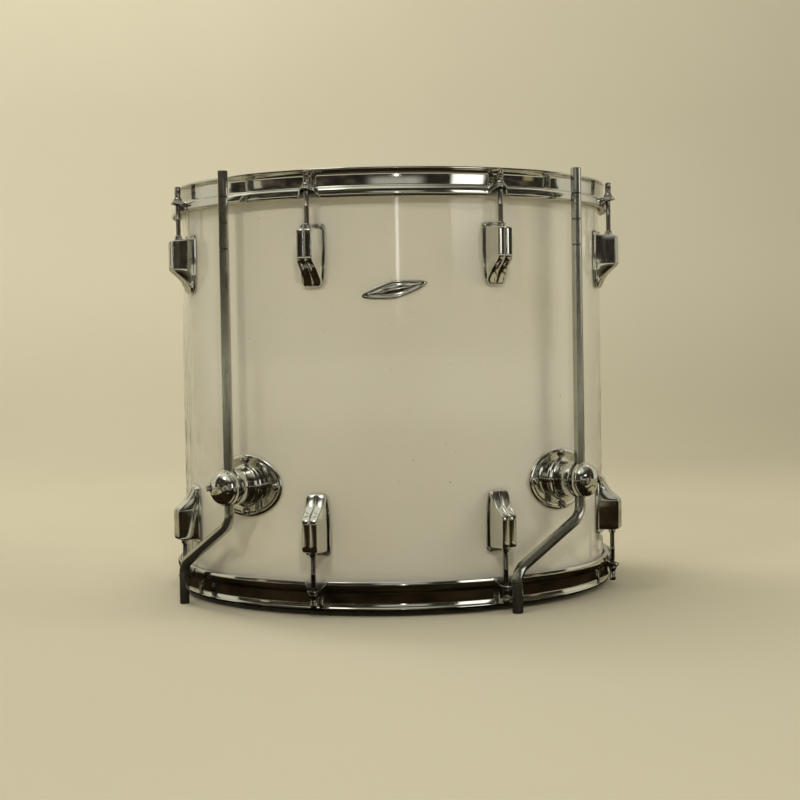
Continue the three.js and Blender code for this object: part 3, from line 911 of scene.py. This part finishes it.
boss, plate = boss_mesh(), plate_mesh()
bolts = finished_mesh(bolts_build(), "bolts", 40)
cap, screw, leg = cap_mesh(), screw_mesh(), leg_mesh()
leg_stand = Matrix.Translation((LEG_R * MM, 0, 0)) @ Matrix.Rotation(RAD(LEG_TURN), 4, "Z")
for side, angle in BRACKETS.items():
    place = station(angle, BRACKET_Z)
    piece(f"bracket_boss_{side}", boss, CHROME, "drum", place, [f"bracket_{side}"])
    piece(f"bracket_plate_{side}", plate, CHROME, "drum", place)
    piece(f"bracket_bolt_set_{side}", bolts, STEEL, "drum", place, [f"bracket_bolts_{side}"])
    piece(f"clamp_dome_{side}", cap, CHROME, f"clamp_cap_{side}_body", place, [f"clamp_cap_{side}"])
    for hand, y, spin in (("a", -SCREW_OUT, 12), ("b", SCREW_OUT, 31)):
        node = f"clamp_screw_{side}_{hand}"
        spot = place @ Matrix.Translation((0, y * MM, 0)) @ Matrix.Rotation(RAD(spin), 4, "X")
        piece(f"key_screw_{side}_{hand}", screw, STEEL, f"{node}_body", spot, [node])
    foot = station(angle, 0) @ leg_stand
    piece(f"bent_leg_{side}", leg, CHROME_LEG, f"leg_{side}_body", foot, [f"leg_{side}"])


# ---- badge: a plain leaf with a raised rib ----
BADGE_ANGLE = -2.7  # degrees from the front
BADGE_Z = (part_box("badge")[0].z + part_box("badge")[1].z) / 2
BADGE_SLANT = 11
BADGE_LONG, BADGE_HIGH = 31.5, 8.4  # half sizes of the leaf
RIB_LONG = 108  # the rib's half length if its rows were as high as the leaf


def badge_mesh():
    rows = [  # share of the leaf's size, and radius
        (0.0, 228.9), (1.0, 228.9), (1.02, 229.4), (1.0, 230.0), (0.92, 230.35), (0.80, 230.1), (0.7, 229.95),
        (0.35, 230.0), (0.16, 230.4), (0.0, 230.6),
    ]
    c, s = math.cos(RAD(BADGE_SLANT)), math.sin(RAD(BADGE_SLANT))
    rings = []
    for share, r in rows:
        ring = []
        for i in range(80):
            a = 2 * math.pi * i / 80
            y = (BADGE_LONG if share > 0.2 else RIB_LONG) * share * math.cos(a)
            z = BADGE_HIGH * share * math.sin(a) * (1 - 0.35 * abs(math.cos(a)))
            ring.append(on_shell(r, y * c - z * s, y * s + z * c))
        rings.append(ring)
    return finished_mesh(Build().loft(rings, caps=False), "badge", 50)


piece("front_badge", badge_mesh(), CHROME, "drum", station(BADGE_ANGLE, BADGE_Z), ["badge"])


# ---- stage, light and camera ----
BACKDROP = (0.60, 0.565, 0.44)  # what the camera sees past the sweep, and the sweep's own far parts
BLACK = (0, 0, 0)
CURVE = 900  # radius between the sweep's floor and wall
CURVE_Y = 1500  # where its curve starts behind the drum


def sweep_build():
    """A flat floor that curves up into a wall behind the drum."""
    profile = [(-60000, 0), (-4200, 0), (-1200, 0), (0, 0), (CURVE_Y, 0)]
    turns = [math.pi / 2 * i / 24 for i in range(1, 25)]
    profile += [(CURVE_Y + CURVE * math.sin(a), CURVE - CURVE * math.cos(a)) for a in turns]
    profile += [(CURVE_Y + CURVE, 2200), (CURVE_Y + CURVE, 5200)]
    rings = [[Vector((x, y, z)) for y, z in profile] for x in (-40000, -2000, 2000, 40000)]
    return Build().loft(rings, closed=False)


def sweep_material():
    """Pale to the camera: painted shade makes it darker to the right, and it is darker towards the floor. To
    glossy rays the floor is a painted reflection instead, dark near the drum and mottled further away.
    """
    m = Nodes("pale_sweep", Roughness=0.8, Specular_IOR_Level=0.0)
    across, ahead, up = m.split(m.place)
    ground = m.fall(up, 0.02, 0.5)
    cloud = m.ramp(m.noise(1.6, 3, 0.5), [(0.3, 0.0), (0.7, 1.0)])
    pale = m.blend(cloud, (0.66, 0.625, 0.505), (0.63, 0.595, 0.475))
    # Painted shade: darker to the right, away from the key light
    pale = m.blend(m.times(m.rise(across, -1.6, 2.0), 0.30), pale, (0.38, 0.36, 0.27))
    # Darker towards the floor
    pale = m.blend(m.times(m.fall(up, 0.0, 1.1), 0.32), pale, (0.40, 0.375, 0.28))
    # Painted reflection: glossy rays see the floor dark near the drum and just in front, dim brown far ahead,
    # mottled elsewhere
    near = m.times(m.rise(across, -0.52, -0.44), m.fall(across, 0.27, 0.33))
    near = m.maths("MAXIMUM", m.times(near, m.fall(ahead, 0.32, 0.42)), m.fall(ahead, -0.75, -0.55))
    dark = m.ramp(m.noise(14, 5, 0.6), [(0.35, (0.006, 0.004, 0.002)), (0.72, (0.035, 0.024, 0.014))])
    front = m.ramp(m.noise(3, 4, 0.6), [(0.35, (0.04, 0.035, 0.024)), (0.7, (0.17, 0.15, 0.11))])
    dark = m.blend(m.rise(ahead, -1.1, -1.7), dark, front)
    mottled_floor_reflection = m.ramp(m.noise(9, 4, 0.6), [(0.42, (0.03, 0.024, 0.015)), (0.50, (0.46, 0.43, 0.31))])
    seen = m.add("ShaderNodeLightPath").outputs["Is Glossy Ray"]
    # Glossy rays on the floor get the painted reflection, all other rays the pale colour
    tone = m.blend(m.times(seen, ground), pale, m.blend(near, mottled_floor_reflection, dark))
    length = m.add("ShaderNodeVectorMath", operation="LENGTH")
    m.link(m.place, length.inputs[0])
    far = m.rise(length.outputs["Value"], 3.0, 5.5)
    m.colour(m.blend(far, tone, BLACK))
    glow = m.blend(m.maths("SUBTRACT", 1.0, ground), BLACK, (0.09, 0.0846, 0.0666))
    m.link(m.blend(far, glow, BACKDROP), m.shader.inputs["Emission Color"])
    m.shader.inputs["Emission Strength"].default_value = 1.0
    m.bump((m.noise(60, 3, 0.5), 0.05, 0.2))
    return m.material


def stage_floor():
    o = bpy.data.objects.new("stage_sweep", finished_mesh(sweep_build(), "stage_sweep", 60))
    o.data.materials.append(sweep_material())
    bpy.context.scene.collection.objects.link(o)


LAMP_TINT = (1.0, 0.945, 0.83)


def lamp(name, at, aim, size, power):
    """A soft area light that chrome and the camera don't see."""
    light = bpy.data.lights.new(name, "AREA")
    light.shape = "RECTANGLE"
    light.size, light.size_y = size
    light.energy = power
    light.color = LAMP_TINT
    o = bpy.data.objects.new(name, light)
    o.location = at
    o.rotation_euler = (Vector(aim) - Vector(at)).to_track_quat("-Z", "Y").to_euler()
    o.visible_camera = False
    o.visible_glossy = False
    bpy.context.scene.collection.objects.link(o)


PANELS = (  # what chrome sees: left, right, low and high in degrees, softness of the edge, colour
    (29, 46, 3.2, 26, 1.2, (1.7, 1.65, 1.5)),  # window
    (-0.2, 0.6, 2.0, 6.5, 0.8, (12.0, 11.6, 10.7)),  # lamp
    (-13, 13, 8, 22, 4.0, (0.44, 0.42, 0.36)),
    (-28, -25, -1, 4, 1.5, (0.22, 0.11, 0.055)),
    (-78, -73, 3.5, 12, 0.6, (0.50, 0.46, 0.34)),
    (70, 76, -8, 8, 0.8, (0.30, 0.24, 0.12)),
    (-58, -34, 44, 60, 3.0, (2.6, 2.5, 2.2)),  # lit patches of ceiling
    (-140, -110, 20, 50, 4.0, (1.8, 1.75, 1.55)),
    (120, 150, 25, 55, 4.0, (1.8, 1.75, 1.55)),
)


def mirrored_room(g, way):
    """A dim cluttered room in front, pale walls at the sides and a bright ceiling, darker to the right."""
    x, y, z = g.split(way)
    bearing = g.times(g.maths("ARCTAN2", x, g.times(y, -1.0)), 180 / math.pi)
    climb = g.times(g.maths("ARCSINE", z), 180 / math.pi)

    def band(value, low, high, soft):
        return g.times(g.rise(value, low - soft, low + soft), g.fall(value, high - soft, high + soft))

    clutter = [
        (0.30, (0.010, 0.008, 0.006)), (0.50, (0.030, 0.025, 0.018)), (0.62, (0.085, 0.070, 0.048)),
        (0.75, (0.14, 0.12, 0.085)),
    ]
    room = g.ramp(g.field(way, 5.0, 5, 0.6, 0.4), clutter)
    sides = g.maths("MAXIMUM", g.rise(bearing, 94, 108), g.rise(g.times(bearing, -1.0), 94, 98))
    room = g.blend(sides, room, (0.58, 0.54, 0.41))
    lit = g.maths("SUBTRACT", 1.0, g.times(g.rise(bearing, 10, 50), 0.75))
    room = g.blend(g.times(g.rise(climb, 34, 58), lit), room, (0.76, 0.745, 0.61))
    for left, right, low, high, soft, colour in PANELS:
        room = g.blend(g.times(band(bearing, left, right, soft), band(climb, low, high, soft)), room, colour)
    return room, bearing


def studio():
    """Soft pale light from the sides, the backdrop's colour for the camera and a room for reflections."""
    world = bpy.data.worlds.new("studio")
    bpy.context.scene.world = world
    world.use_nodes = True
    g = Graph(world.node_tree)
    g.tree.nodes.clear()
    room, bearing = mirrored_room(g, g.add("ShaderNodeTexCoord").outputs["Generated"])
    rays = g.add("ShaderNodeLightPath").outputs
    aside = g.rise(g.maths("ABSOLUTE", bearing), 20, 100)
    light = g.blend(aside, (0.03, 0.028, 0.022), (0.74, 0.72, 0.61))
    light = g.blend(rays["Is Camera Ray"], light, BACKDROP)
    shader = g.add("ShaderNodeBackground")
    g.link(g.blend(rays["Is Glossy Ray"], light, room), shader.inputs["Color"])
    out = g.add("ShaderNodeOutputWorld")
    g.link(shader.outputs[0], out.inputs["Surface"])


LENS = 68.73
CAMERA_ANGLE = -3.5  # the drum is turned this far from the lens's own axis
CAMERA_AT = (0, -1.6909, 0.2563)
YAW, PITCH, ROLL = RAD(0.269), RAD(1.890), RAD(-0.971)


def camera():
    data = bpy.data.cameras.new("camera")
    data.sensor_width = 36.0
    data.lens = LENS
    o = bpy.data.objects.new("camera", data)
    bpy.context.scene.collection.objects.link(o)
    ahead = Vector((math.sin(YAW) * math.cos(PITCH), math.cos(YAW) * math.cos(PITCH), -math.sin(PITCH)))
    right = Vector((math.cos(YAW), -math.sin(YAW), 0))
    level = Matrix((right, right.cross(ahead), -ahead)).transposed().to_4x4()
    swing = Matrix.Rotation(RAD(CAMERA_ANGLE), 4, "Z")
    stand = Matrix.Translation(AXIS) @ swing @ Matrix.Translation(CAMERA_AT)
    o.matrix_world = stand @ level @ Matrix.Rotation(ROLL, 4, "Z")
    bpy.context.scene.camera = o


stage_floor()
studio()
MIDDLE = (0, 0, 0.22)
lamp("key_left", (-1.15, -1.65, 1.9), MIDDLE, (0.30, 0.30), 9.5)
lamp("key_front", (0.09, -2.2, 1.7), MIDDLE, (0.20, 0.20), 10.5)
lamp("overhead", (-0.1, -0.5, 2.8), (0, 0, 0.2), (1.1, 1.1), 10)
lamp("fill_right", (2.3, -0.5, 1.0), MIDDLE, (0.8, 0.8), 10)
lamp("back_light", (-1.4, 1.7, 1.9), (0, 0, 0.3), (0.9, 0.9), 9)
lamp("wall_wash", (-0.8, 0.9, 2.7), (0.2, 2.4, 0.6), (2.4, 0.8), 36)
bpy.context.scene.view_settings.view_transform = "Standard"
camera()
bpy.context.view_layer.update()
